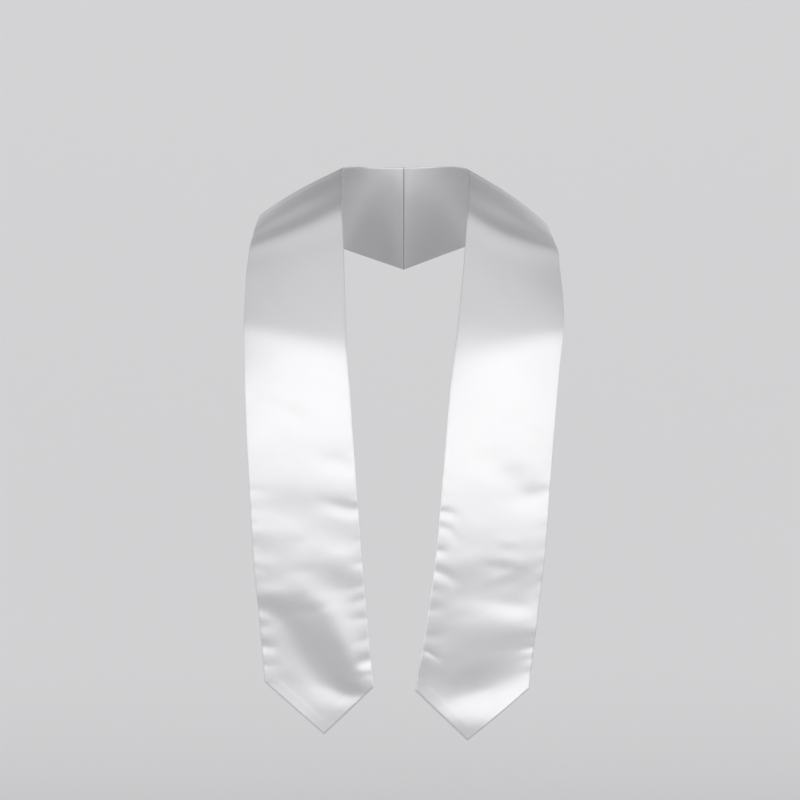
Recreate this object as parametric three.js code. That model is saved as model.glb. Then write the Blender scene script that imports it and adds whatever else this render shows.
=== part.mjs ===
// A plain satin graduation stole, in the shape that it takes when it is worn: two bands of doubled
// satin, sewn together in a V at the back of the neck, that pass over the shoulders and hang down the
// chest to pointed ends. Millimetres, +Z up, the wearer faces -Y, and the origin is the nape of the
// neck, where the seam starts. The wearer's right hand is on the -X side.
import * as THREE from "three";

// The cut pattern.
const PANEL_LENGTH = 762; // from the seam to the tip, along the middle of a panel
const NECK_BAND_WIDTH = 100; // across a panel beside the neck
const HEM_BAND_WIDTH = 127; // across a panel at the corners of its hem
const POINT_DROP = 54; // from the hem corners down to the tip
const SEAM_MITRE_DEG = 32; // the slant of the seam from a square end
const CLOTH_THICKNESS = 1.6; // two plies of satin with a stiffener between them
const EDGE_ROLL = 0.6; // how far a turned edge rounds out past its two plies
const SEAM_GAP = 0.3; // between the two panels at the seam

// The wearer that the stole is shaped by.
const NECK_OPENING = 130; // between the panels, beside the neck
const CHEST_DEPTH = 184; // from the nape forward to the front of the chest
const CHEST_DROP = 240; // from the nape down to where the stole leaves the chest

// The size of the dents and folds.
const FOLD_DEPTH = 4;

// The mesh of one panel.
const ROWS = 76;
const COLUMNS = 12;
const PLIES = 2;
const ROUTE_SAMPLES = 400;
const TAIL_PASSES = 8;
const BUMPS_PER_STOP = 5;
const PROBE = 0.5; // the step for measuring the cloth's slope

// Where each panel lies, a row for each place that the inner edge passes. side, fore and drop place the
// inner edge, as shares of half the neck opening, the chest depth and the chest drop. turn is how far
// the line across the panel swings back from straight out, and fall how far it dips, in degrees. slant
// is the share of the seam's mitre, flare runs from the neck's width to the hem's, and bow is how far
// the middle of the panel stands out, as a share of its width.
const RIGHT_OVER_SHOULDER = [
  { side: 0, fore: 0, drop: 0, turn: 90, fall: 72, slant: 1, flare: 0, bow: 0 },
  { side: 0.646, fore: 0.076, drop: 0.004, turn: 62, fall: 55, slant: 0.56, flare: 0.02, bow: 0.01 },
  { side: 0.923, fore: 0.207, drop: 0.013, turn: 34, fall: 38, slant: 0.2, flare: 0.08, bow: 0.02 },
  { side: 1.015, fore: 0.315, drop: 0.033, turn: 16, fall: 27, slant: 0, flare: 0.17, bow: 0.035 },
  { side: 1.023, fore: 0.457, drop: 0.108, turn: 15, fall: 24, slant: 0, flare: 0.3, bow: 0.03 },
  { side: 1, fore: 0.609, drop: 0.242, turn: 20, fall: 18, slant: 0, flare: 0.48, bow: 0.02 },
  { side: 0.977, fore: 0.772, drop: 0.438, turn: 24, fall: 9, slant: 0, flare: 0.67, bow: 0.035 },
  { side: 0.938, fore: 0.913, drop: 0.688, turn: 25, fall: 3, slant: 0, flare: 0.78, bow: 0.04 },
  { side: 0.871, fore: 1, drop: 1, turn: 23.5, fall: 0, slant: 0, flare: 0.85, bow: 0.035 },
];
const LEFT_OVER_SHOULDER = [
  { side: 0, fore: 0, drop: 0, turn: 90, fall: 72, slant: 1, flare: 0, bow: 0 },
  { side: 0.646, fore: 0.105, drop: 0.004, turn: 59, fall: 52, slant: 0.56, flare: 0.02, bow: 0.01 },
  { side: 0.923, fore: 0.212, drop: 0.015, turn: 35, fall: 40, slant: 0.2, flare: 0.08, bow: 0.02 },
  { side: 1.054, fore: 0.315, drop: 0.038, turn: 16, fall: 32, slant: 0, flare: 0.17, bow: 0.04 },
  { side: 1.062, fore: 0.457, drop: 0.113, turn: 17, fall: 28, slant: 0, flare: 0.3, bow: 0.03 },
  { side: 1.023, fore: 0.609, drop: 0.242, turn: 22, fall: 19, slant: 0, flare: 0.48, bow: 0.02 },
  { side: 0.985, fore: 0.772, drop: 0.438, turn: 25, fall: 10, slant: 0, flare: 0.67, bow: 0.035 },
  { side: 0.886, fore: 0.913, drop: 0.688, turn: 21, fall: 3, slant: 0, flare: 0.78, bow: 0.04 },
  { side: 0.743, fore: 1, drop: 1, turn: 20, fall: 0, slant: 0, flare: 0.85, bow: 0.035 },
];

// The free stretch below the chest, in the same columns. Its drop is the share of the tail, the
// length that is left below the chest.
const RIGHT_HANGING = [
  { side: 0.774, fore: 1.022, drop: 0.25, turn: 23, fall: 0, slant: 0, flare: 0.91, bow: 0.02 },
  { side: 0.667, fore: 0.988, drop: 0.5, turn: 22, fall: 0, slant: 0, flare: 0.95, bow: 0.012 },
  { side: 0.543, fore: 0.953, drop: 0.75, turn: 23, fall: 0, slant: 0, flare: 0.98, bow: 0.012 },
  { side: 0.483, fore: 0.942, drop: 0.852, turn: 22.5, fall: 0, slant: 0, flare: 1, bow: 0.014 },
  { side: 0.42, fore: 0.925, drop: 1, turn: 22, fall: 0, slant: 0, flare: 1, bow: 0.014 },
];
const LEFT_HANGING = [
  { side: 0.623, fore: 1.052, drop: 0.25, turn: 22, fall: 0, slant: 0, flare: 0.91, bow: 0.02 },
  { side: 0.494, fore: 1.037, drop: 0.5, turn: 22, fall: 0, slant: 0, flare: 0.95, bow: 0.012 },
  { side: 0.28, fore: 0.995, drop: 0.75, turn: 19.5, fall: 0, slant: 0, flare: 0.98, bow: 0.012 },
  { side: 0.177, fore: 0.972, drop: 0.845, turn: 16.5, fall: 1, slant: 0, flare: 1, bow: 0.014 },
  { side: 0.08, fore: 0.957, drop: 1, turn: 14, fall: 1, slant: 0, flare: 1, bow: 0.014 },
];

// The crests of the main folds and the hollows between them, a list of stops for each. along and
// across place a stop, as shares of the panel's length and width, with across running out from the
// inner edge. wide is the half width there, as a share of the hem's width, and rise the height, as a
// share of FOLD_DEPTH, below zero in a hollow.
const RIGHT_FOLDS = [
  // where the cloth turns over the front of the shoulder, and again over the chest
  [
    { along: 0.264, across: -0.1, wide: 0.094, rise: 0.55 },
    { along: 0.272, across: 0.35, wide: 0.094, rise: 0.6 },
    { along: 0.273, across: 0.7, wide: 0.094, rise: 0.6 },
    { along: 0.27, across: 1.1, wide: 0.094, rise: 0.575 },
  ],
  [
    { along: 0.47, across: -0.1, wide: 0.197, rise: 0.55 },
    { along: 0.461, across: 0.3, wide: 0.181, rise: 0.575 },
    { along: 0.434, across: 0.7, wide: 0.142, rise: 0.5 },
    { along: 0.419, across: 1.1, wide: 0.118, rise: 0.4 },
  ],
  // a small dent beside the inner edge, and a low swell at the outer edge
  [
    { along: 0.622, across: 0.02, wide: 0.063, rise: -0.15 },
    { along: 0.619, across: 0.15, wide: 0.079, rise: -0.225 },
    { along: 0.613, across: 0.32, wide: 0.079, rise: -0.1 },
  ],
  [
    { along: 0.584, across: 1.08, wide: 0.22, rise: 0.325 },
    { along: 0.587, across: 0.9, wide: 0.205, rise: 0.175 },
    { along: 0.593, across: 0.75, wide: 0.173, rise: 0.05 },
  ],
  // the hollows below the chest, shallow toward the outer edge and short at the inner one
  [
    { along: 0.672, across: 1.05, wide: 0.142, rise: 0.025 },
    { along: 0.676, across: 0.85, wide: 0.157, rise: -0.125 },
    { along: 0.68, across: 0.6, wide: 0.157, rise: -0.175 },
    { along: 0.68, across: 0.45, wide: 0.126, rise: -0.075 },
  ],
  [
    { along: 0.682, across: -0.05, wide: 0.047, rise: -0.25 },
    { along: 0.682, across: 0.1, wide: 0.063, rise: -0.25 },
    { along: 0.678, across: 0.25, wide: 0.079, rise: -0.175 },
    { along: 0.673, across: 0.4, wide: 0.087, rise: -0.05 },
  ],
  // a low crest, a pull of the seam and a shallow hollow over the long fold
  [
    { along: 0.751, across: -0.05, wide: 0.126, rise: 0.2 },
    { along: 0.751, across: 0.15, wide: 0.142, rise: 0.275 },
    { along: 0.748, across: 0.35, wide: 0.142, rise: 0.25 },
    { along: 0.745, across: 0.6, wide: 0.126, rise: 0.125 },
  ],
  [
    { along: 0.748, across: 1.03, wide: 0.063, rise: -0.15 },
    { along: 0.745, across: 0.85, wide: 0.087, rise: -0.125 },
    { along: 0.74, across: 0.7, wide: 0.079, rise: 0 },
  ],
  [
    { along: 0.791, across: 1.05, wide: 0.063, rise: -0.15 },
    { along: 0.791, across: 0.8, wide: 0.079, rise: -0.125 },
    { along: 0.794, across: 0.62, wide: 0.079, rise: -0.025 },
  ],
  // the swell at the inner edge, beside the end of the long fold
  [
    { along: 0.921, across: -0.12, wide: 0.268, rise: 0.85 },
    { along: 0.919, across: 0, wide: 0.22, rise: 0.6 },
    { along: 0.913, across: 0.1, wide: 0.142, rise: 0.2 },
  ],
  // the long fold, from the outer edge down to the inner corner, and the hollow under it
  [
    { along: 0.798, across: 1.05, wide: 0.079, rise: 0.1 },
    { along: 0.799, across: 0.85, wide: 0.094, rise: 0.175 },
    { along: 0.799, across: 0.68, wide: 0.118, rise: 0.25 },
    { along: 0.802, across: 0.52, wide: 0.134, rise: 0.3 },
    { along: 0.816, across: 0.4, wide: 0.15, rise: 0.45 },
    { along: 0.832, across: 0.31, wide: 0.142, rise: 0.6 },
    { along: 0.861, across: 0.24, wide: 0.126, rise: 0.65 },
    { along: 0.89, across: 0.18, wide: 0.102, rise: 0.5 },
    { along: 0.906, across: 0.14, wide: 0.071, rise: 0.2 },
  ],
  [
    { along: 0.825, across: 1.05, wide: 0.079, rise: -0.125 },
    { along: 0.831, across: 0.88, wide: 0.094, rise: -0.2 },
    { along: 0.848, across: 0.76, wide: 0.142, rise: -0.45 },
    { along: 0.877, across: 0.66, wide: 0.189, rise: -0.8 },
    { along: 0.911, across: 0.56, wide: 0.228, rise: -1.8 },
    { along: 0.929, across: 0.45, wide: 0.213, rise: -2.35 },
    { along: 0.936, across: 0.36, wide: 0.142, rise: -1.45 },
    { along: 0.937, across: 0.26, wide: 0.094, rise: -0.9 },
    { along: 0.934, across: 0.17, wide: 0.063, rise: -0.45 },
    { along: 0.929, across: 0.1, wide: 0.047, rise: -0.1 },
  ],
  // the slack hem, which stays as low as the hollow
  [
    { along: 0.919, across: 0.95, wide: 0.157, rise: -0.35 },
    { along: 0.934, across: 0.82, wide: 0.189, rise: -0.7 },
    { along: 0.958, across: 0.68, wide: 0.22, rise: -1.1 },
    { along: 0.997, across: 0.51, wide: 0.252, rise: -2.05 },
    { along: 0.984, across: 0.36, wide: 0.173, rise: -1.3 },
    { along: 0.961, across: 0.24, wide: 0.102, rise: -0.6 },
  ],
];
const LEFT_FOLDS = [
  // over the front of the shoulder, and over the chest
  [
    { along: 0.262, across: -0.1, wide: 0.094, rise: 0.55 },
    { along: 0.281, across: 0.3, wide: 0.094, rise: 0.6 },
    { along: 0.276, across: 0.65, wide: 0.094, rise: 0.6 },
    { along: 0.259, across: 1.1, wide: 0.094, rise: 0.575 },
  ],
  [
    { along: 0.475, across: -0.1, wide: 0.22, rise: 0.55 },
    { along: 0.465, across: 0.4, wide: 0.205, rise: 0.575 },
    { along: 0.437, across: 0.75, wide: 0.157, rise: 0.525 },
    { along: 0.423, across: 1.1, wide: 0.118, rise: 0.4 },
  ],
  // a faint crease across the chest, and the dents near the outer edge
  [
    { along: 0.558, across: 0.45, wide: 0.079, rise: -0.1 },
    { along: 0.556, across: 0.58, wide: 0.079, rise: -0.175 },
    { along: 0.554, across: 0.72, wide: 0.071, rise: -0.05 },
  ],
  [
    { along: 0.627, across: 0.5, wide: 0.079, rise: -0.125 },
    { along: 0.63, across: 0.65, wide: 0.087, rise: -0.225 },
    { along: 0.627, across: 0.78, wide: 0.079, rise: -0.125 },
  ],
  [
    { along: 0.656, across: 0.58, wide: 0.071, rise: -0.1 },
    { along: 0.66, across: 0.72, wide: 0.087, rise: -0.275 },
    { along: 0.66, across: 0.86, wide: 0.087, rise: -0.3 },
    { along: 0.656, across: 0.98, wide: 0.079, rise: -0.15 },
  ],
  // the crests under the chest, low and wide
  [
    { along: 0.709, across: 0.15, wide: 0.157, rise: 0.075 },
    { along: 0.711, across: 0.4, wide: 0.189, rise: 0.2 },
    { along: 0.711, across: 0.7, wide: 0.189, rise: 0.225 },
    { along: 0.711, across: 1, wide: 0.173, rise: 0.175 },
  ],
  [
    { along: 0.747, across: 0.1, wide: 0.11, rise: 0.05 },
    { along: 0.744, across: 0.3, wide: 0.142, rise: 0.175 },
    { along: 0.743, across: 0.55, wide: 0.15, rise: 0.225 },
    { along: 0.743, across: 0.8, wide: 0.15, rise: 0.225 },
    { along: 0.745, across: 1.05, wide: 0.15, rise: 0.125 },
  ],
  // the hollow over the low swell, and its crest
  [
    { along: 0.795, across: 0.2, wide: 0.063, rise: -0.05 },
    { along: 0.799, across: 0.35, wide: 0.071, rise: -0.075 },
    { along: 0.806, across: 0.55, wide: 0.079, rise: -0.125 },
    { along: 0.814, across: 0.78, wide: 0.071, rise: -0.175 },
    { along: 0.818, across: 0.95, wide: 0.063, rise: -0.075 },
  ],
  [
    { along: 0.837, across: 0.25, wide: 0.173, rise: 0.2 },
    { along: 0.841, across: 0.42, wide: 0.22, rise: 0.5 },
    { along: 0.844, across: 0.58, wide: 0.213, rise: 0.65 },
    { along: 0.848, across: 0.76, wide: 0.15, rise: 0.4 },
    { along: 0.85, across: 0.95, wide: 0.11, rise: 0.25 },
    { along: 0.85, across: 1.08, wide: 0.094, rise: 0.075 },
  ],
  // the hollow over the hem, and the tip, which turns back a little
  [
    { along: 0.941, across: 0.3, wide: 0.126, rise: -0.3 },
    { along: 0.937, across: 0.45, wide: 0.173, rise: -0.8 },
    { along: 0.93, across: 0.6, wide: 0.189, rise: -0.85 },
    { along: 0.921, across: 0.8, wide: 0.173, rise: -0.6 },
    { along: 0.916, across: 1, wide: 0.142, rise: -0.45 },
    { along: 0.913, across: 1.1, wide: 0.118, rise: -0.3 },
  ],
  [
    { along: 0.987, across: 0.3, wide: 0.126, rise: -0.3 },
    { along: 1.008, across: 0.5, wide: 0.189, rise: -0.8 },
    { along: 0.995, across: 0.7, wide: 0.142, rise: -0.45 },
  ],
  // the swell at the inner edge
  [
    { along: 0.877, across: -0.08, wide: 0.283, rise: 0.75 },
    { along: 0.871, across: 0.04, wide: 0.268, rise: 0.45 },
  ],
];

const PANELS = [
  {
    name: "right_panel",
    side: -1,
    overShoulder: RIGHT_OVER_SHOULDER,
    hanging: RIGHT_HANGING,
    folds: RIGHT_FOLDS,
  },
  {
    name: "left_panel",
    side: 1,
    overShoulder: LEFT_OVER_SHOULDER,
    hanging: LEFT_HANGING,
    folds: LEFT_FOLDS,
  },
];

const { degToRad, lerp } = THREE.MathUtils;

// The line across the panel at one row, from its inner edge to its outer edge.
function lineAcross(row, side) {
  const turn = degToRad(row.turn);
  const fall = degToRad(row.fall);
  const square = lerp(NECK_BAND_WIDTH, HEM_BAND_WIDTH, row.flare);
  const length = square / Math.cos(degToRad(SEAM_MITRE_DEG * row.slant));
  return new THREE.Vector3(
    side * Math.cos(fall) * Math.cos(turn),
    Math.cos(fall) * Math.sin(turn),
    -Math.sin(fall),
  ).multiplyScalar(length);
}

// The panel's way over the shoulder and down: curves for its middle, for the line across it, and for
// its bow, all read at the same share of the rows.
function routeWithTail(panel, tail) {
  const middles = [];
  const lines = [];
  const bows = [];
  const addRow = (row, drop) => {
    const inner = new THREE.Vector3(
      (panel.side * row.side * NECK_OPENING) / 2,
      -row.fore * CHEST_DEPTH,
      -drop,
    );
    const line = lineAcross(row, panel.side);
    middles.push(inner.addScaledVector(line, 0.5));
    lines.push(line);
    bows.push(new THREE.Vector3(row.bow, 0, 0));
  };
  panel.overShoulder.forEach((row) => addRow(row, row.drop * CHEST_DROP));
  panel.hanging.forEach((row) => addRow(row, CHEST_DROP + row.drop * tail));
  const middle = new THREE.CatmullRomCurve3(middles);
  middle.arcLengthDivisions = ROUTE_SAMPLES;
  return {
    middle,
    line: new THREE.CatmullRomCurve3(lines),
    bow: new THREE.CatmullRomCurve3(bows, false, "catmullrom"),
  };
}

// The route whose tail takes up what is left of the panel's length.
function routeOf(panel) {
  let tail = PANEL_LENGTH / 2;
  let route = routeWithTail(panel, tail);
  for (let pass = 0; pass < TAIL_PASSES; pass += 1) {
    tail += PANEL_LENGTH + EDGE_ROLL - route.middle.getLength();
    route = routeWithTail(panel, tail);
  }
  return { ...route, bumps: bumpsOf(panel.folds) };
}

// Each fold as a row of soft bumps along a smooth line through its stops. They lie close enough
// together to make one even crest.
function bumpsOf(folds) {
  const bumps = [];
  for (const stops of folds) {
    const places = stops.map(
      (stop) => new THREE.Vector3(stop.along * PANEL_LENGTH, stop.across * HEM_BAND_WIDTH, 0),
    );
    const shapes = stops.map(
      (stop) => new THREE.Vector3(stop.wide * HEM_BAND_WIDTH, stop.rise * FOLD_DEPTH, 0),
    );
    const crest = new THREE.CatmullRomCurve3(places);
    const shape = new THREE.CatmullRomCurve3(shapes, false, "catmullrom");
    const count = BUMPS_PER_STOP * (stops.length - 1);
    for (let i = 0; i < count; i += 1) {
      const start = crest.getPoint(i / count);
      const end = crest.getPoint((i + 1) / count);
      const { x: wide, y: rise } = shape.getPoint((i + 0.5) / count);
      const step = start.distanceTo(end);
      bumps.push({
        along: (start.x + end.x) / 2,
        out: (start.y + end.y) / 2,
        wide,
        rise: (rise * step) / (wide * Math.sqrt(Math.PI)),
      });
    }
  }
  return bumps;
}

// How far the folds lift the cloth at a place on the panel.
function foldLift(bumps, along, across) {
  let lift = 0;
  for (const bump of bumps) {
    const apart = Math.hypot(along - bump.along, across * HEM_BAND_WIDTH - bump.out);
    lift += bump.rise * Math.exp(-((apart / bump.wide) ** 2));
  }
  return lift;
}

// The middle of the cloth, along mm from the seam and at the share across of the width.
function clothPoint(panel, route, along, across) {
  const distance = Math.min(along, route.middle.getLength());
  const share = route.middle.getUtoTmapping(0, distance);
  const line = route.line.getPoint(share);
  const out = route.middle
    .getTangent(share)
    .cross(line)
    .normalize()
    .multiplyScalar(panel.side);
  const bow = route.bow.getPoint(share).x * line.length() * (1 - (2 * across - 1) ** 2);
  return route.middle
    .getPoint(share)
    .addScaledVector(line, across - 0.5)
    .addScaledVector(out, bow + foldLift(route.bumps, along, across));
}

// The way out of the cloth's face, measured from its slope.
function clothNormal(panel, route, along, across) {
  const before = Math.max(along - PROBE, 0);
  const after = Math.min(along + PROBE, PANEL_LENGTH);
  const step = PROBE / HEM_BAND_WIDTH;
  const down = clothPoint(panel, route, after, across).sub(
    clothPoint(panel, route, before, across),
  );
  const out = clothPoint(panel, route, along, across + step).sub(
    clothPoint(panel, route, along, across - step),
  );
  return down.cross(out).normalize().multiplyScalar(panel.side);
}

// How far down the panel a row lies. Rows are square to the panel until they bend into the point.
function rowDistance(share, across) {
  const straight = PANEL_LENGTH - 2 * POINT_DROP;
  const distance = share * PANEL_LENGTH;
  if (distance <= straight) return distance;
  const end = PANEL_LENGTH - POINT_DROP * Math.abs(2 * across - 1);
  return lerp(straight, end, (distance - straight) / (PANEL_LENGTH - straight));
}

// One panel: a flat strip of cloth, with its vertices moved to where the worn panel lies.
function makePanel(panel, material) {
  const route = routeOf(panel);
  const strip = new THREE.BoxGeometry(1, 1, 1, ROWS, COLUMNS, PLIES);
  const vertices = strip.getAttribute("position");
  const flat = new THREE.Vector3();
  for (let i = 0; i < vertices.count; i += 1) {
    flat.fromBufferAttribute(vertices, i);
    const share = flat.x + 0.5;
    const across = panel.side * flat.y + 0.5;
    const isBetweenPlies = Math.abs(flat.z) < 0.25;
    const roll = isBetweenPlies ? EDGE_ROLL : 0;
    const along = rowDistance(share, across) + (share === 1 ? roll : 0);
    const rolled = across + (roll / HEM_BAND_WIDTH) * (across === 0 ? -1 : across === 1 ? 1 : 0);
    const place = clothPoint(panel, route, along, rolled);
    const out = clothNormal(panel, route, Math.min(along, PANEL_LENGTH), across);
    place.addScaledVector(out, flat.z * CLOTH_THICKNESS);
    if (share === 0) place.x = (panel.side * SEAM_GAP) / 2;
    vertices.setXYZ(i, place.x, place.y, place.z);
  }
  strip.computeVertexNormals();
  const mesh = new THREE.Mesh(strip, material);
  mesh.name = panel.name;
  return mesh;
}

const whiteSatin = () =>
  new THREE.MeshStandardMaterial({ color: 0xe9e9ee, roughness: 0.38, metalness: 0 });

const stole = new THREE.Group();
for (const panel of PANELS) stole.add(makePanel(panel, whiteSatin()));

export default stole;
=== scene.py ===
# Dresses a plain white satin graduation stole in the shape that it takes when it is worn, and lights it.
# Each panel is cut flat as two plies of satin joined round a turned edge, then laid along its way from
# the nape, over the shoulder and down the chest, with the folds and seam puckers that the cloth has
# there. Lengths in the tables are in millimetres unless they say shares, and the meshes are in metres.
# The frame has its origin at the nape, +Z up, and the wearer facing -Y.
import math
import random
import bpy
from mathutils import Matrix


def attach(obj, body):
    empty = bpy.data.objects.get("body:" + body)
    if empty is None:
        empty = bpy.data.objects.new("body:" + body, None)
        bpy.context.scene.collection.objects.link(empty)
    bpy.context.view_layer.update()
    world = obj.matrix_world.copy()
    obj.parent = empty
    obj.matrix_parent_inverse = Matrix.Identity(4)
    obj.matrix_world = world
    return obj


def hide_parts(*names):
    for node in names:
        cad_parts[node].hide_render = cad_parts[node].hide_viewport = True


bl_info = {
    "name": "Satin graduation stole",
    "version": (1, 0, 0),
    "blender": (4, 5, 0),
    "location": "3D View > Sidebar > Stole",
    "description": "Cuts, drapes and lights a doubled satin stole",
    "category": "Object",
}

from collections import namedtuple

import bmesh
import bpy
import numpy as np
from bpy.props import FloatProperty, FloatVectorProperty, PointerProperty
from mathutils import Matrix, Vector

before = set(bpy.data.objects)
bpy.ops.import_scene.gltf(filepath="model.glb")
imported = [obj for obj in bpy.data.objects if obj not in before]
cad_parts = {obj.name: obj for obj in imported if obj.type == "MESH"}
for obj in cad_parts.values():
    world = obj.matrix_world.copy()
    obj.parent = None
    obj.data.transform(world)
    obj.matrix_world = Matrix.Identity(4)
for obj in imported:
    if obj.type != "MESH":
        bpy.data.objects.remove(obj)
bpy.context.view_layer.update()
MM = 0.001

# The wearer that the stole is shaped by, as in the solid panels.
NECK_OPENING = 130
CHEST_DEPTH = 184
CHEST_DROP = 240
SEAM_MITRE = math.radians(32)

# Where each panel lies, a row for each place that the inner edge passes. side, fore and drop place the
# inner edge, as shares of half the neck opening, the chest depth and the chest drop, and below the
# chest drop is a share of the tail that is left. turn is how far the line across the panel swings back
# from straight out, and fall how far it dips, in degrees. slant is the share of the seam's mitre, flare
# runs from the neck's width to the hem's, and bow is how far the middle stands out, as a share of the
# width.
Row = namedtuple("Row", "side fore drop turn fall slant flare bow")
RIGHT_OVER_SHOULDER = (
    Row(side=0, fore=0, drop=0, turn=90, fall=72, slant=1, flare=0, bow=0),
    Row(side=0.646, fore=0.076, drop=0.004, turn=62, fall=55, slant=0.56, flare=0.02, bow=0.01),
    Row(side=0.923, fore=0.207, drop=0.013, turn=34, fall=38, slant=0.2, flare=0.08, bow=0.02),
    Row(side=1.015, fore=0.315, drop=0.033, turn=16, fall=27, slant=0, flare=0.17, bow=0.035),
    Row(side=1.023, fore=0.457, drop=0.108, turn=15, fall=24, slant=0, flare=0.3, bow=0.03),
    Row(side=1, fore=0.609, drop=0.242, turn=20, fall=18, slant=0, flare=0.48, bow=0.02),
    Row(side=0.977, fore=0.772, drop=0.438, turn=24, fall=9, slant=0, flare=0.67, bow=0.035),
    Row(side=0.938, fore=0.913, drop=0.688, turn=25, fall=3, slant=0, flare=0.78, bow=0.04),
    Row(side=0.871, fore=1, drop=1, turn=23.5, fall=0, slant=0, flare=0.85, bow=0.035),
)
LEFT_OVER_SHOULDER = (
    Row(side=0, fore=0, drop=0, turn=90, fall=72, slant=1, flare=0, bow=0),
    Row(side=0.646, fore=0.105, drop=0.004, turn=59, fall=52, slant=0.56, flare=0.02, bow=0.01),
    Row(side=0.923, fore=0.212, drop=0.015, turn=35, fall=40, slant=0.2, flare=0.08, bow=0.02),
    Row(side=1.054, fore=0.315, drop=0.038, turn=16, fall=32, slant=0, flare=0.17, bow=0.04),
    Row(side=1.062, fore=0.457, drop=0.113, turn=17, fall=28, slant=0, flare=0.3, bow=0.03),
    Row(side=1.023, fore=0.609, drop=0.242, turn=22, fall=19, slant=0, flare=0.48, bow=0.02),
    Row(side=0.985, fore=0.772, drop=0.438, turn=25, fall=10, slant=0, flare=0.67, bow=0.035),
    Row(side=0.886, fore=0.913, drop=0.688, turn=21, fall=3, slant=0, flare=0.78, bow=0.04),
    Row(side=0.743, fore=1, drop=1, turn=20, fall=0, slant=0, flare=0.85, bow=0.035),
)
RIGHT_HANGING = (
    Row(side=0.774, fore=1.022, drop=0.25, turn=23, fall=0, slant=0, flare=0.91, bow=0.02),
    Row(side=0.667, fore=0.988, drop=0.5, turn=22, fall=0, slant=0, flare=0.95, bow=0.012),
    Row(side=0.543, fore=0.953, drop=0.75, turn=23, fall=0, slant=0, flare=0.98, bow=0.012),
    Row(side=0.483, fore=0.942, drop=0.852, turn=22.5, fall=0, slant=0, flare=1, bow=0.014),
    Row(side=0.42, fore=0.925, drop=1, turn=22, fall=0, slant=0, flare=1, bow=0.014),
)
LEFT_HANGING = (
    Row(side=0.623, fore=1.052, drop=0.25, turn=22, fall=0, slant=0, flare=0.91, bow=0.02),
    Row(side=0.494, fore=1.037, drop=0.5, turn=22, fall=0, slant=0, flare=0.95, bow=0.012),
    Row(side=0.28, fore=0.995, drop=0.75, turn=19.5, fall=0, slant=0, flare=0.98, bow=0.012),
    Row(side=0.177, fore=0.972, drop=0.845, turn=16.5, fall=1, slant=0, flare=1, bow=0.014),
    Row(side=0.08, fore=0.957, drop=1, turn=14, fall=1, slant=0, flare=1, bow=0.014),
)

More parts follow.
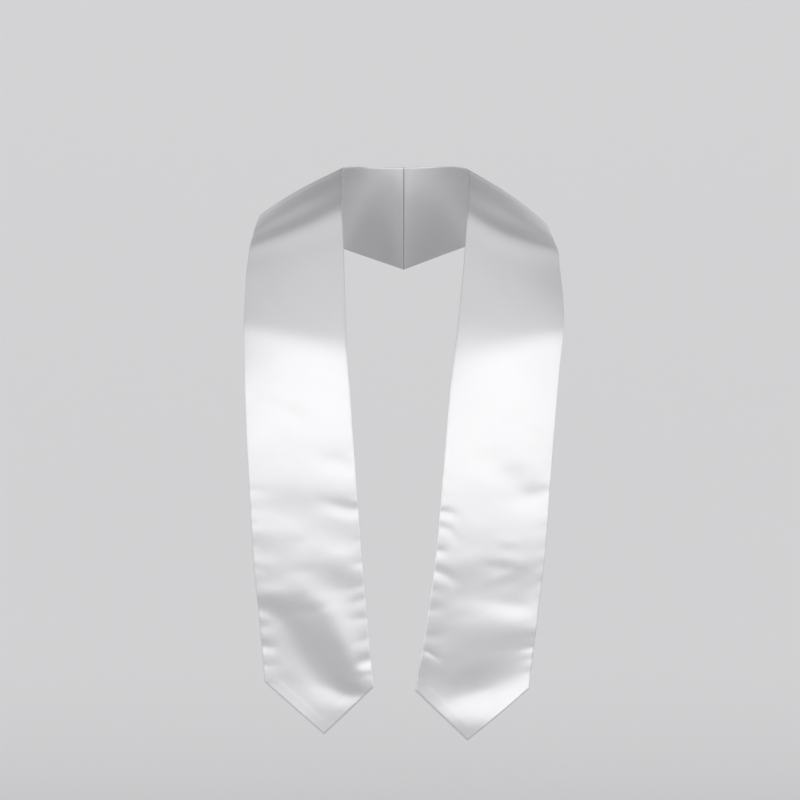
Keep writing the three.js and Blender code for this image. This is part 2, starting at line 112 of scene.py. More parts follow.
# The crests of the folds and the hollows between them, a list of stops for each. along is millimetres
# from the seam, across a share of the width from the inner edge, wide the half width of the crest in
# millimetres, and rise its height in millimetres, below zero for a hollow.
Stop = namedtuple("Stop", "along across wide rise")
RIGHT_FOLDS = (
    # where the cloth turns over the front of the shoulder, and again over the chest
    (Stop(206, -0.1, 16, 2.8), Stop(215, 0.35, 18, 3.7), Stop(216, 0.7, 17, 3.5), Stop(211, 1.1, 14, 2.2)),
    (Stop(356, -0.1, 30, 2.4), Stop(350, 0.3, 28, 2.5), Stop(332, 0.7, 23, 2.2), Stop(318, 1.1, 18, 1.7)),
    # a faint crease across the chest, and a small dent beside the inner edge
    (Stop(401, 0.98, 9, -0.4), Stop(411, 0.75, 9, -0.7), Stop(424, 0.5, 9, -0.7), Stop(433, 0.33, 8, -0.2)),
    (Stop(474, 0.02, 8, -0.6), Stop(472, 0.15, 10, -0.9), Stop(467, 0.32, 10, -0.4)),
    # the outer edge, which swells under the chest and sinks again below it
    (Stop(448, 1.08, 30, 2.2), Stop(449, 0.93, 27, 1.0), Stop(453, 0.78, 22, 0.2)),
    (Stop(556, 1.1, 26, -1.1), Stop(554, 0.96, 24, -0.5)),
    # the hollows below the chest, wide and shallow toward the outer edge and short at the inner one
    (
        Stop(512, 1.05, 18, 0.1),
        Stop(515, 0.85, 20, -0.5),
        Stop(518, 0.6, 20, -0.7),
        Stop(518, 0.45, 16, -0.3),
    ),
    (
        Stop(522, 1.05, 12, 0),
        Stop(525, 0.86, 14, -0.3),
        Stop(529, 0.7, 17, -0.3),
        Stop(531, 0.5, 18, -0.3),
        Stop(527, 0.36, 15, -0.2),
    ),
    (
        Stop(520, -0.05, 6, -0.8),
        Stop(520, 0.1, 8, -0.9),
        Stop(517, 0.25, 10, -0.7),
        Stop(513, 0.4, 11, -0.2),
    ),
    (
        Stop(580, -0.05, 17, 0.5),
        Stop(578, 0.15, 17, 1.1),
        Stop(571, 0.35, 18, 1.0),
        Stop(568, 0.6, 16, 0.5),
    ),
    # short pulls at both edges
    (Stop(570, 1.03, 8, -0.3), Stop(568, 0.85, 11, -0.3), Stop(564, 0.7, 10, 0)),
    (Stop(569, -0.03, 5, -0.3), Stop(571, 0.13, 6, -0.1)),
    (Stop(578, -0.03, 5, -0.3), Stop(580, 0.14, 6, -0.1)),
    (Stop(646, 1.03, 5, -0.5), Stop(648, 0.88, 6, -0.2)),
    (Stop(668, 1.03, 5, -0.6), Stop(669, 0.88, 6, -0.3)),
    (Stop(680, -0.03, 5, -0.8), Stop(683, 0.1, 6, -0.7), Stop(688, 0.18, 6, 0)),
    # the hollows over the long fold at both edges, and the swell beside it at the inner edge
    (Stop(603, 1.05, 8, -0.3), Stop(603, 0.8, 10, -0.3), Stop(605, 0.62, 10, -0.1)),
    (
        Stop(601, 0.08, 10, 0),
        Stop(603, 0.18, 10, -0.2),
        Stop(605, 0.27, 11, -0.2),
        Stop(611, 0.4, 11, -0.1),
    ),
    (Stop(591, 0.7, 14, 0.3), Stop(592, 0.5, 16, 0.5), Stop(594, 0.32, 14, 0.2)),
    (Stop(702, -0.12, 34, 3.4), Stop(700, 0.0, 28, 2.4), Stop(696, 0.1, 18, 0.8)),
    # the long fold from the outer edge down to the inner corner: its crest and the hollow under it
    (
        Stop(608, 1.05, 10, 0.4),
        Stop(611, 0.85, 11, 0.7),
        Stop(609, 0.68, 15, 1.0),
        Stop(611, 0.52, 17, 1.2),
        Stop(622, 0.4, 19, 1.8),
        Stop(634, 0.31, 20, 2.2),
        Stop(656, 0.24, 17, 2.4),
        Stop(678, 0.18, 13, 2.0),
        Stop(690, 0.14, 9, 0.8),
    ),
    (
        Stop(627, 1.05, 9, -0.7),
        Stop(631, 0.88, 12, -1.1),
        Stop(643, 0.76, 17, -2.2),
        Stop(668, 0.66, 24, -3.2),
        Stop(694, 0.56, 29, -7.2),
        Stop(708, 0.45, 27, -9.4),
        Stop(713, 0.36, 18, -5.8),
        Stop(718, 0.26, 12, -3.6),
        Stop(717, 0.17, 9, -2.0),
        Stop(713, 0.1, 6, -0.4),
    ),
    # the slack hem, which stays as low as the hollow
    (
        Stop(700, 0.95, 20, -0.6),
        Stop(712, 0.82, 24, -1.8),
        Stop(730, 0.68, 28, -3.8),
        Stop(760, 0.51, 32, -6.8),
        Stop(750, 0.36, 22, -5.2),
        Stop(732, 0.24, 13, -2.4),
    ),
    # the tip, which turns back a little
    (Stop(758, 0.36, 11, -0.6), Stop(770, 0.5, 13, -1.9), Stop(760, 0.66, 11, -0.8)),
)
LEFT_FOLDS = (
    (Stop(202, -0.1, 14, 2.6), Stop(217, 0.3, 16, 3.2), Stop(218, 0.65, 17, 3.5), Stop(207, 1.1, 14, 2.2)),
    (Stop(360, -0.1, 34, 2.4), Stop(354, 0.4, 31, 2.5), Stop(336, 0.75, 25, 2.3), Stop(322, 1.1, 19, 1.8)),
    # faint creases across the chest
    (Stop(425, 0.45, 10, -0.4), Stop(424, 0.58, 10, -0.7), Stop(422, 0.72, 9, -0.2)),
    (Stop(436, 0.6, 8, -0.15), Stop(438, 0.78, 8, -0.3), Stop(445, 0.95, 8, -0.1)),
    (Stop(462, 0.25, 9, -0.3), Stop(463, 0.4, 10, -0.5), Stop(458, 0.55, 9, -0.2)),
    # the two dents near the outer edge
    (Stop(474, 0.45, 13, -0.5), Stop(484, 0.62, 15, -1.3), Stop(488, 0.76, 14, -1.0)),
    (
        Stop(499, 0.62, 11, -0.6),
        Stop(504, 0.74, 13, -1.4),
        Stop(504, 0.87, 13, -1.5),
        Stop(498, 0.98, 12, -0.6),
    ),
    # the crest under the chest, low and wide
    (Stop(540, 0.15, 20, 0.3), Stop(542, 0.4, 24, 0.8), Stop(542, 0.7, 24, 0.9), Stop(542, 1.0, 22, 0.7)),
    (
        Stop(572, 0.1, 14, 0.2),
        Stop(573, 0.3, 19, 0.7),
        Stop(572, 0.55, 20, 0.9),
        Stop(570, 0.8, 19, 0.9),
        Stop(570, 1.05, 19, 0.5),
    ),
    # the hollow over the lens-shaped swell, the crest under it, and the hollow over the hem
    (
        Stop(606, 0.2, 8, -0.2),
        Stop(610, 0.35, 8, -0.1),
        Stop(615, 0.55, 9, -0.3),
        Stop(620, 0.78, 9, -0.6),
        Stop(622, 0.92, 8, -0.2),
    ),
    (
        Stop(637, 0.25, 26, 0.8),
        Stop(640, 0.42, 32, 2.0),
        Stop(640, 0.58, 30, 2.6),
        Stop(640, 0.76, 19, 1.6),
        Stop(642, 0.95, 14, 0.9),
        Stop(642, 1.08, 12, 0.3),
    ),
    (
        Stop(717, 0.3, 16, -1.2),
        Stop(714, 0.45, 22, -3.2),
        Stop(709, 0.6, 24, -3.4),
        Stop(703, 0.8, 22, -2.2),
        Stop(698, 1.0, 18, -1.5),
        Stop(696, 1.1, 15, -1.0),
    ),
    # the tip, which turns back a little
    (Stop(754, 0.3, 14, -1.2), Stop(768, 0.5, 19, -2.8), Stop(759, 0.7, 16, -1.8)),
    # the swell and the pulls at the inner edge
    (Stop(690, -0.08, 48, 4.4), Stop(684, 0.04, 44, 2.6)),
    (Stop(517, -0.03, 4, -0.45), Stop(520, 0.09, 5, -0.4), Stop(524, 0.18, 5, 0)),
    (Stop(533, -0.03, 4, -0.3), Stop(538, 0.1, 5, -0.3), Stop(552, 0.2, 5, -0.1)),
    (Stop(558, -0.03, 4, -0.4), Stop(559, 0.08, 5, -0.2)),
    (Stop(579, -0.03, 5, -0.5), Stop(584, 0.1, 6, -0.6), Stop(593, 0.22, 6, -0.2)),
    (Stop(617, -0.03, 6, -0.3), Stop(619, 0.12, 7, -0.1)),
    (Stop(663, 0.02, 3, -0.35), Stop(671, 0.12, 3, -0.35), Stop(676, 0.18, 3, -0.1)),
    # and at the outer edge
    (Stop(664, 1.03, 5, -0.6), Stop(666, 0.88, 6, -0.2)),
)

Panel = namedtuple("Panel", "piece node side over_shoulder hanging folds")
PANELS = (
    Panel("right_satin", "right_panel", -1, RIGHT_OVER_SHOULDER, RIGHT_HANGING, RIGHT_FOLDS),
    Panel("left_satin", "left_panel", 1, LEFT_OVER_SHOULDER, LEFT_HANGING, LEFT_FOLDS),
)

# The mesh of one panel.
ROWS = 330
COLUMNS = 56
EDGE_BUNCHING = 0.75  # how much closer the columns lie at the edges than on average
SEAM_ROWS = 0.03  # the share of the rows that goes into each bunched end
SEAM_REACH = 0.006  # and the share of the length that those rows cover
ROUTE_SAMPLES = 1200
BUMP_SPACING = 0.6  # between the bumps that make up a crest, as a share of its half width
BUMP_FADE = 3.2  # how many half widths away a bump has faded out
TAIL_PASSES = 8  # tries at the tail's length, which bring the panel to its full length
PROBE = 0.4  # the step, in millimetres, for measuring the cloth's slope
ALLOWANCE_EASE = 4  # how gently the turned-in cloth's step shows on the face, in millimetres

# Faint marks of slack cloth, scattered over this stretch of a panel, in millimetres from the seam.
SLACK_MARKS = 34
SLACK_STRETCH = (375, 735)

# Faint pulls of the sewn edge. edge is its share of the width, inward the way to the middle, start where
# the pulls begin and strength their greatest depth, both in millimetres.
EdgePulls = namedtuple("EdgePulls", "edge inward start strength")
EDGE_PULLS = (
    EdgePulls(edge=0, inward=1, start=415, strength=0.42),
    EdgePulls(edge=1, inward=-1, start=480, strength=0.34),
)
EDGE_PULL_STEP = (15, 27)
EDGE_PULLS_END = 700

# The floor and its rim, in metres.
FLOOR_RADIUS = 3.6
RIM_REACH = 3.4
RIM_STEPS = 14
GLOW_STARTS, GLOW_FULL = 2.4, 5.4

# The camera and the softboxes, in metres, and the lens in millimetres. Each softbox stands on both
# sides, and all of them aim at the middle of the stole.
EYE = (-0.0042, -2.9, -0.259)
LENS = 117.3
STOLE_MIDDLE = (0, -0.12, -0.3)
Softbox = namedtuple("Softbox", "name side fore height size power")
SOFTBOXES = (
    Softbox("front_softbox", side=2.5, fore=-2.7, height=0.1, size=(3.4, 2.7), power="front_power"),
    Softbox("upper_softbox", side=2.0, fore=-1.4, height=2.1, size=(3.8, 2.8), power="upper_power"),
    Softbox("back_softbox", side=2.2, fore=2.6, height=1.2, size=(2.6, 2.4), power="back_power"),
)


class StoleSizes(bpy.types.PropertyGroup):
    panel_length: FloatProperty(
        name="Panel length",
        description="From the seam to the tip, along the middle of a panel",
        default=0.762,
        unit="LENGTH",
    )
    neck_width: FloatProperty(
        name="Neck width",
        description="Across a panel beside the neck",
        default=0.1,
        unit="LENGTH",
    )
    hem_width: FloatProperty(
        name="Hem width",
        description="Across a panel at the corners of its hem",
        default=0.127,
        unit="LENGTH",
    )
    point_drop: FloatProperty(
        name="Point drop",
        description="From the hem corners down to the tip",
        default=0.054,
        unit="LENGTH",
    )
    thickness: FloatProperty(
        name="Thickness",
        description="Through both plies and the stiffener",
        default=0.0015,
        unit="LENGTH",
    )
    edge_thickness: FloatProperty(
        name="Edge thickness",
        description="Through the edge, where the turned-in allowances lie",
        default=0.0017,
        unit="LENGTH",
    )
    edge_roll: FloatProperty(
        name="Edge roll",
        description="How far in from the edge the cloth rounds off",
        default=0.0024,
        unit="LENGTH",
    )
    allowance: FloatProperty(
        name="Seam allowance",
        description="How far in from the edge the turned-in cloth reaches",
        default=0.0125,
        unit="LENGTH",
    )


class SatinFinish(bpy.types.PropertyGroup):
    colour: FloatVectorProperty(
        name="Satin colour",
        description="Colour of the satin",
        default=(0.807, 0.805, 0.81),
        subtype="COLOR",
        size=3,
        min=0,
        max=1,
    )
    roughness: FloatProperty(
        name="Roughness",
        description="How widely the sheen spreads",
        default=0.42,
        min=0,
        max=1,
    )
    lustre: FloatProperty(
        name="Lustre",
        description="Share of the light that the face throws straight back",
        default=0.65,
        min=0,
        max=1,
    )
    anisotropy: FloatProperty(
        name="Float direction",
        description="How much the sheen spreads across the threads",
        default=0.8,
        min=0,
        max=1,
    )
    thread_pitch: FloatProperty(
        name="Thread pitch",
        description="Between neighbouring threads of the satin's face",
        default=0.0003,
        precision=5,
        unit="LENGTH",
    )


class StageSettings(bpy.types.PropertyGroup):
    floor_colour: FloatVectorProperty(
        name="Floor colour",
        description="Colour of the floor and its upturned rim",
        default=(0.44, 0.437, 0.452),
        subtype="COLOR",
        size=3,
        min=0,
        max=1,
    )
    floor_glow: FloatProperty(
        name="Floor glow",
        description="Light that the rim gives of its own, which keeps it pale in every view",
        default=0.459,
        min=0,
    )
    floor_drop: FloatProperty(
        name="Floor drop",
        description="From the nape down to the floor",
        default=1.5,
        unit="LENGTH",
    )
    front_power: FloatProperty(
        name="Front lights",
        description="Power of each of the two front softboxes",
        default=37.5,
        unit="POWER",
    )
    upper_power: FloatProperty(
        name="Upper lights",
        description="Power of each of the two front softboxes that hang above",
        default=23,
        unit="POWER",
    )
    back_power: FloatProperty(
        name="Back lights",
        description="Power of each of the two back softboxes",
        default=14,
        unit="POWER",
    )


# A smooth line through the stops at shares of the way along it. Where it is even, the line bends by the
# distance between the stops, so that close stops make no loops.
def line_through(stops, share, even=True):
    padded = np.vstack([2 * stops[0] - stops[1], stops, 2 * stops[-1] - stops[-2]])
    legs = len(stops) - 1
    place = np.clip(share, 0, 1) * legs
    leg = np.minimum(place.astype(int), legs - 1)
    part = (place - leg)[:, None]
    before, start, end, after = (padded[leg + k] for k in range(4))
    if even:
        gaps = [
            np.sqrt(np.linalg.norm(b - a, axis=1))[:, None]
            for a, b in ((before, start), (start, end), (end, after))
        ]
        middle = np.where(gaps[1] < 1e-4, 1, gaps[1])
        first, last = (np.where(gap < 1e-4, middle, gap) for gap in gaps[::2])
        leave = (start - before) / first - (end - before) / (first + middle) + (end - start) / middle
        arrive = (end - start) / middle - (after - start) / (middle + last) + (after - end) / last
        leave, arrive = leave * middle, arrive * middle
    else:
        leave, arrive = (end - before) / 2, (after - start) / 2
    bend = -3 * start + 3 * end - 2 * leave - arrive
    twist = 2 * start - 2 * end + leave + arrive
    return start + part * (leave + part * (bend + part * twist))


# The faint marks of slack cloth and the faint pulls at both edges of one panel.
def slack_folds(piece):
    chance = random.Random(piece)
    folds = []
    for _ in range(SLACK_MARKS):
        along, across = chance.uniform(*SLACK_STRETCH), chance.uniform(0.05, 0.95)
        lean, reach = chance.uniform(-9, 9), chance.uniform(0.07, 0.2)
        wide, rise = chance.uniform(5, 10), chance.uniform(0.08, 0.24) * chance.choice((-1, 1))
        middle = Stop(along, across, wide, rise)
        ends = [Stop(along + k * lean, across + k * reach, wide * 0.8, rise / 4) for k in (-1, 1)]
        folds.append((ends[0], middle, ends[1]))
    for pulls in EDGE_PULLS:
        along = pulls.start
        while along < EDGE_PULLS_END:
            along += chance.uniform(*EDGE_PULL_STEP)
            rise = -chance.uniform(0.4, 1) * pulls.strength
            reach, lean = chance.uniform(0.07, 0.2), chance.uniform(-2, 8)
            outer = Stop(along, pulls.edge - 0.02 * pulls.inward, 4, rise)
            folds.append((outer, Stop(along + lean, pulls.edge + reach * pulls.inward, 6, rise / 4)))
    return tuple(folds)


# The way of one panel, and where the cloth lies on it.
class PanelRoute:
    def __init__(self, panel, sizes):
        self.panel = panel
        self.length = sizes.panel_length / MM
        self.neck_width = sizes.neck_width / MM
        self.hem_width = sizes.hem_width / MM
        self.point_drop = sizes.point_drop / MM
        self.bumps = self.fold_bumps()
        tail = self.length / 2
        for _ in range(TAIL_PASSES):
            self.lay(tail)
            tail += self.length - self.distances[-1]
        self.lay(tail)

    def lay(self, tail):
        middles, lines, bows = [], [], []
        side = self.panel.side
        for row in self.panel.over_shoulder + self.panel.hanging:
            hangs = row in self.panel.hanging
            drop = CHEST_DROP + row.drop * tail if hangs else row.drop * CHEST_DROP
            inner = np.array((side * row.side * NECK_OPENING / 2, -row.fore * CHEST_DEPTH, -drop))
            turn, fall = math.radians(row.turn), math.radians(row.fall)
            square = self.neck_width + (self.hem_width - self.neck_width) * row.flare
            line = np.array(
                (
                    side * math.cos(fall) * math.cos(turn),
                    math.cos(fall) * math.sin(turn),
                    -math.sin(fall),
                )
            ) * (square / math.cos(SEAM_MITRE * row.slant))
            middles.append(inner + line / 2)
            lines.append(line)
            bows.append((row.bow,))
        self.middles, self.lines, self.bows = map(np.array, (middles, lines, bows))
        self.shares = np.linspace(0, 1, ROUTE_SAMPLES + 1)
        steps = np.diff(line_through(self.middles, self.shares), axis=0)
        self.distances = np.concatenate([[0], np.cumsum(np.linalg.norm(steps, axis=1))])

    def share_at(self, along):
        return np.interp(along, self.distances, self.shares)

    def width_at(self, along):
        return np.linalg.norm(line_through(self.lines, self.share_at(along)), axis=1)

    # The middle of the cloth's thickness at millimetres along and shares across.
    def cloth(self, along, across):
        share = self.share_at(along)
        line = line_through(self.lines, share)
        width = np.linalg.norm(line, axis=1)
        ahead = line_through(self.middles, np.minimum(share + 1e-4, 1))
        behind = line_through(self.middles, np.maximum(share - 1e-4, 0))
        out = np.cross(ahead - behind, line) * self.panel.side
        out /= np.linalg.norm(out, axis=1)[:, None]
        bow = line_through(self.bows, share, even=False)[:, 0] * width * (1 - (2 * across - 1) ** 2)
        lift = bow + self.fold_lift(along, across)
        # Past the end of the route the cloth goes straight on.
        spare = np.maximum(along - self.distances[-1], 0)
        way = (ahead - behind) / np.linalg.norm(ahead - behind, axis=1)[:, None]
        middle = line_through(self.middles, share) + way * spare[:, None]
        return middle + line * (across - 0.5)[:, None] + out * lift[:, None]

    # Each crest is a row of soft bumps that lie close enough together to make one smooth fold.
    def fold_bumps(self):
        bumps = []
        for stops in self.panel.folds + slack_folds(self.panel.piece):
            table = np.array(stops)
            table[:, 1] *= self.hem_width
            reach = np.linalg.norm(np.diff(table[:, :2], axis=0), axis=1).sum()
            count = math.ceil(reach / (BUMP_SPACING * table[:, 2].min()))
            crest = line_through(table, np.linspace(0, 1, count + 1))
            middle = (crest[1:] + crest[:-1]) / 2
            step = np.linalg.norm(np.diff(crest[:, :2], axis=0), axis=1)
            middle[:, 3] *= step / (middle[:, 2] * math.sqrt(math.pi))
            bumps.append(middle)
        return np.vstack(bumps)

    def fold_lift(self, along, across):
        out = across * self.hem_width
        lift = np.zeros(len(along))
        for place, reach, wide, rise in self.bumps:
            near = np.abs(along - place) < BUMP_FADE * wide
            apart = (along[near] - place) ** 2 + (out[near] - reach) ** 2
            lift[near] += rise * np.exp(-apart / wide**2)
        return lift

    def out_of_face(self, along, across):
        step = PROBE / self.hem_width
        down = self.cloth(along + PROBE, across) - self.cloth(np.maximum(along - PROBE, 0), across)
        out = self.cloth(along, across + step) - self.cloth(along, across - step)
        way = np.cross(down, out) * self.panel.side
        return way / np.linalg.norm(way, axis=1)[:, None]

    # How far down the panel a row lies. Rows are square to it until they bend into the point.
    def row_distance(self, share, across):
        straight = self.length - 2 * self.point_drop
        distance = share * self.length
        end = self.length - self.point_drop * np.abs(2 * across - 1)
        bent = straight + (end - straight) * (distance - straight) / (self.length - straight)
        return np.where(distance <= straight, distance, bent)


# Half the thickness of the panel at a distance from its nearest edge: a rolled edge, then the turned-in
# allowances, then the plain plies.
def half_thickness(from_edge, sizes):
    edge, plain = sizes.edge_thickness / MM / 2, sizes.thickness / MM / 2
    inward = np.clip(from_edge / (sizes.edge_roll / MM), 0, 1)
    roll = np.sqrt(1 - (1 - inward) ** 2)
    past = np.clip((from_edge - sizes.allowance / MM) / ALLOWANCE_EASE + 0.5, 0, 1)
    ease = past * past * (3 - 2 * past)
    return roll * (edge + (plain - edge) * ease)


# Two flat plies of one grid, with the back one turned over.
def cut_plies():
    bm = bmesh.new()
    bmesh.ops.create_grid(bm, x_segments=COLUMNS, y_segments=ROWS, size=0.5)
    face_ply = bm.verts[:]
    copied = bmesh.ops.duplicate(bm, geom=bm.verts[:] + bm.edges[:] + bm.faces[:])
    back_ply = [v for v in copied["geom"] if isinstance(v, bmesh.types.BMVert)]
    turned = [f for f in copied["geom"] if isinstance(f, bmesh.types.BMFace)]
    bmesh.ops.reverse_faces(bm, faces=turned)
    return bm, face_ply, back_ply


# The shares across and along where the plies' vertices lie, closer together at the edges and ends.
def bunched_shares(verts):
    flat = np.array([v.co[:2] for v in verts]) + 0.5
    across = flat[:, 0] - EDGE_BUNCHING * np.sin(2 * np.pi * flat[:, 0]) / (2 * np.pi)
    stops = (0, SEAM_ROWS, 1 - SEAM_ROWS, 1)
    share = np.interp(flat[:, 1], stops, (0, SEAM_REACH, 1 - SEAM_REACH, 1))
    return np.clip(across, 0, 1), share


# How far each place on the panel is from its nearest edge.
def edge_distance(route, along, across, width):
    hem = route.length - route.point_drop * np.abs(2 * across - 1)
    slope = math.cos(math.atan(2 * route.point_drop / route.hem_width))
    edges = (across * width, (1 - across) * width, (hem - along) * slope, along * math.cos(SEAM_MITRE))
    return np.maximum(np.minimum.reduce(edges), 0)


# The panel's mesh, fused round its edge, and the area that its pattern is cut from.
def cut_and_drape(panel, sizes):
    route = PanelRoute(panel, sizes)
    bm, face_ply, back_ply = cut_plies()
    across, share = bunched_shares(face_ply + back_ply)
    along = route.row_distance(share, across)
    width = route.width_at(along)
    from_edge = edge_distance(route, along, across, width)
    ply = np.repeat((1.0, -1.0), (len(face_ply), len(back_ply)))
    offset = ply * half_thickness(from_edge, sizes)
    places = route.cloth(along, across) + route.out_of_face(along, across) * offset[:, None]
    places[share <= 0, 0] = 0
    weave = bm.loops.layers.uv.new("weave")
    u = (across - 0.5) * width * MM + np.where(ply > 0, 0.25, 0.75)
    v = along * MM
    for index, vert in enumerate(face_ply + back_ply):
        vert.co = places[index] * MM
        for loop in vert.link_loops:
            loop[weave].uv = (u[index], v[index])
    bmesh.ops.remove_doubles(bm, verts=bm.verts[:], dist=1e-7)
    bmesh.ops.recalc_face_normals(bm, faces=bm.faces[:])
    mesh = bpy.data.meshes.new(panel.piece)
    bm.to_mesh(mesh)
    bm.free()
    mesh.shade_smooth()
    piece = bpy.data.objects.new(panel.piece, mesh)
    bpy.context.scene.collection.objects.link(piece)
    widths = route.width_at(np.linspace(0, route.length, 400)) * MM
    cut = widths.mean() * sizes.panel_length - sizes.hem_width * sizes.point_drop / 2
    return piece, cut


def new_material(name):
    material = bpy.data.materials.new(name)
    material.use_nodes = True
    material.node_tree.nodes.clear()
    return material, material.node_tree.nodes, material.node_tree.links


def satin_material(finish):
    material, nodes, links = new_material("white_satin")
    output = nodes.new("ShaderNodeOutputMaterial")
    satin = nodes.new("ShaderNodeBsdfPrincipled")
    links.new(satin.outputs["BSDF"], output.inputs["Surface"])
    satin.inputs["Roughness"].default_value = finish.roughness
    satin.inputs["Anisotropic"].default_value = finish.anisotropy
    satin.inputs["Metallic"].default_value = finish.lustre
    satin.inputs["Sheen Weight"].default_value = 0.1
    satin.inputs["Sheen Roughness"].default_value = 0.5
    tangent = nodes.new("ShaderNodeTangent")
    tangent.direction_type = "UV_MAP"
    tangent.uv_map = "weave"
    links.new(tangent.outputs["Tangent"], satin.inputs["Tangent"])
    uv = nodes.new("ShaderNodeUVMap")
    uv.uv_map = "weave"

    # The satin's floats: fine streaks along the panel.
    floats = nodes.new("ShaderNodeMapping")
    floats.inputs["Scale"].default_value = (1 / finish.thread_pitch, 0.12 / finish.thread_pitch, 1)
    links.new(uv.outputs["UV"], floats.inputs["Vector"])
    threads = nodes.new("ShaderNodeTexNoise")
    threads.noise_dimensions = "2D"
    threads.inputs["Scale"].default_value = 1
    threads.inputs["Detail"].default_value = 1
    links.new(floats.outputs["Vector"], threads.inputs["Vector"])
    bump = nodes.new("ShaderNodeBump")
    bump.inputs["Strength"].default_value = 0.06
    bump.inputs["Distance"].default_value = 0.0002
    links.new(threads.outputs["Fac"], bump.inputs["Height"])

    # Broad cloudiness of the cloth's colour and sheen.
    place = nodes.new("ShaderNodeTexCoord")
    clouds = nodes.new("ShaderNodeTexNoise")
    clouds.inputs["Scale"].default_value = 22
    clouds.inputs["Detail"].default_value = 3
    links.new(place.outputs["Object"], clouds.inputs["Vector"])
    tint = nodes.new("ShaderNodeMix")
    tint.data_type = "RGBA"
    colour = finish.colour
    tint.inputs["A"].default_value = (*(c * 0.97 for c in colour), 1)
    tint.inputs["B"].default_value = (*(min(c * 1.03, 1) for c in colour), 1)
    links.new(clouds.outputs["Fac"], tint.inputs["Factor"])
    links.new(tint.outputs["Result"], satin.inputs["Base Color"])
    links.new(bump.outputs["Normal"], satin.inputs["Normal"])
    return material


class STOLE_OT_panels(bpy.types.Operator):
    """Cut both satin panels, drape them and give them their finish"""

    bl_idname = "stole.panels"
    bl_label = "Sew and drape the panels"

    def execute(self, context):
        sizes = context.scene.stole_sizes
        satin = satin_material(context.scene.stole_satin)
        for panel in PANELS:
            piece, area = cut_and_drape(panel, sizes)
            piece.data.materials.append(satin)
            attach(piece, "root")
            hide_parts(panel.node)
        return {"FINISHED"}


# A bowl-shaped floor: a flat disc whose rim turns up all round, far behind every view.
def make_floor(settings):
    bm = bmesh.new()
    bmesh.ops.create_circle(bm, cap_ends=True, segments=160, radius=FLOOR_RADIUS)
    bmesh.ops.translate(bm, verts=bm.verts[:], vec=(0, 0, -settings.floor_drop))
    rim = bm.edges[:]
    radius = FLOOR_RADIUS
    for step in range(1, RIM_STEPS + 1):
        angle = math.pi / 2 * step / RIM_STEPS
        pulled = bmesh.ops.extrude_edge_only(bm, edges=rim)["geom"]
        corners = [v for v in pulled if isinstance(v, bmesh.types.BMVert)]
        rim = [e for e in pulled if isinstance(e, bmesh.types.BMEdge)]
        grown = FLOOR_RADIUS + RIM_REACH * math.sin(angle)
        level = -settings.floor_drop + RIM_REACH * (1 - math.cos(angle))
        bmesh.ops.scale(bm, verts=corners, vec=(grown / radius, grown / radius, 1))
        lift = level - corners[0].co.z
        bmesh.ops.translate(bm, verts=corners, vec=(0, 0, lift))
        radius = grown
    mesh = bpy.data.meshes.new("floor")
    bm.to_mesh(mesh)
    bm.free()
    mesh.shade_smooth()
    floor = bpy.data.objects.new("floor", mesh)
    bpy.context.scene.collection.objects.link(floor)
    mesh.materials.append(floor_material(settings))


# Pale paint that glows a little toward the rim, by the distance from the middle of the floor.
def floor_material(settings):
    material, nodes, links = new_material("pale_floor")
    output = nodes.new("ShaderNodeOutputMaterial")
    paint = nodes.new("ShaderNodeBsdfPrincipled")
    paint.inputs["Base Color"].default_value = (*settings.floor_colour, 1)
    paint.inputs["Roughness"].default_value = 0.9
    paint.inputs["Emission Color"].default_value = (1, 1, 1, 1)
    place = nodes.new("ShaderNodeTexCoord")
    level = nodes.new("ShaderNodeVectorMath")
    level.operation = "MULTIPLY"
    level.inputs[1].default_value = (1, 1, 0)
    links.new(place.outputs["Object"], level.inputs[0])
    reach = nodes.new("ShaderNodeVectorMath")
    reach.operation = "LENGTH"
    links.new(level.outputs["Vector"], reach.inputs[0])
    glow = nodes.new("ShaderNodeMapRange")
    glow.interpolation_type = "SMOOTHSTEP"
    glow.inputs["From Min"].default_value = GLOW_STARTS
    glow.inputs["From Max"].default_value = GLOW_FULL
    glow.inputs["To Min"].default_value = settings.floor_glow / 4
    glow.inputs["To Max"].default_value = settings.floor_glow
    links.new(reach.outputs["Value"], glow.inputs["Value"])
    links.new(glow.outputs["Result"], paint.inputs["Emission Strength"])
    links.new(paint.outputs["BSDF"], output.inputs["Surface"])
    return material


def add_softbox(softbox, side, power):
    light = bpy.data.lights.new(softbox.name, "AREA")
    light.shape = "RECTANGLE"
    light.size, light.size_y = softbox.size
    light.energy = power
    box = bpy.data.objects.new(softbox.name, light)
    bpy.context.scene.collection.objects.link(box)
    place = Vector((side * softbox.side, softbox.fore, softbox.height))
    way = Vector(STOLE_MIDDLE) - place
    box.matrix_world = Matrix.Translation(place) @ way.to_track_quat("-Z", "Y").to_matrix().to_4x4()


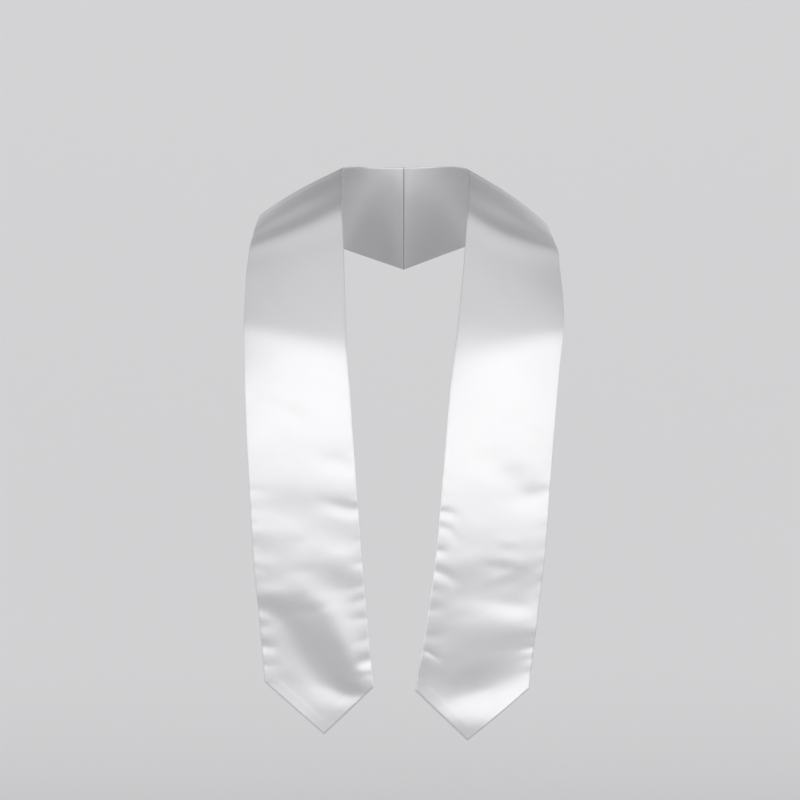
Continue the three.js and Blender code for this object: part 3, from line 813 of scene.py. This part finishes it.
class STOLE_OT_stage(bpy.types.Operator):
    """Set up the camera, the pale floor and the soft lights"""

    bl_idname = "stole.stage"
    bl_label = "Set the stage"

    def execute(self, context):
        settings = context.scene.stole_stage
        camera = bpy.data.cameras.new("camera")
        camera.sensor_width = 36
        camera.lens = LENS
        camera.clip_end = 50
        eye = bpy.data.objects.new("camera", camera)
        context.scene.collection.objects.link(eye)
        eye.location = EYE
        eye.rotation_euler = (math.pi / 2, 0, 0)
        context.scene.camera = eye
        make_floor(settings)
        for side in (-1, 1):
            for softbox in SOFTBOXES:
                add_softbox(softbox, side, getattr(settings, softbox.power))
        world = bpy.data.worlds.new("room")
        world.use_nodes = True
        world.node_tree.nodes["Background"].inputs["Color"].default_value = (0.93, 0.93, 1, 1)
        world.node_tree.nodes["Background"].inputs["Strength"].default_value = 0.15
        context.scene.world = world
        context.scene.view_settings.view_transform = "Standard"
        return {"FINISHED"}


class STOLE_PT_panel(bpy.types.Panel):
    bl_idname = "STOLE_PT_panel"
    bl_label = "Stole"
    bl_space_type = "VIEW_3D"
    bl_region_type = "UI"
    bl_category = "Stole"

    def draw(self, context):
        groups = (
            ("stole_sizes", "stole.panels"),
            ("stole_satin", None),
            ("stole_stage", "stole.stage"),
        )
        for group, operator in groups:
            box = self.layout.box()
            settings = getattr(context.scene, group)
            for name in settings.__annotations__:
                box.prop(settings, name)
            if operator:
                box.operator(operator)


CLASSES = (
    StoleSizes,
    SatinFinish,
    StageSettings,
    STOLE_OT_panels,
    STOLE_OT_stage,
    STOLE_PT_panel,
)


def register():
    for cls in CLASSES:
        bpy.utils.register_class(cls)
    bpy.types.Scene.stole_sizes = PointerProperty(type=StoleSizes)
    bpy.types.Scene.stole_satin = PointerProperty(type=SatinFinish)
    bpy.types.Scene.stole_stage = PointerProperty(type=StageSettings)


def unregister():
    del bpy.types.Scene.stole_stage
    del bpy.types.Scene.stole_satin
    del bpy.types.Scene.stole_sizes
    for cls in reversed(CLASSES):
        bpy.utils.unregister_class(cls)


def main():
    register()
    bpy.ops.stole.stage()
    bpy.ops.stole.panels()


if __name__ == "__main__":
    main()
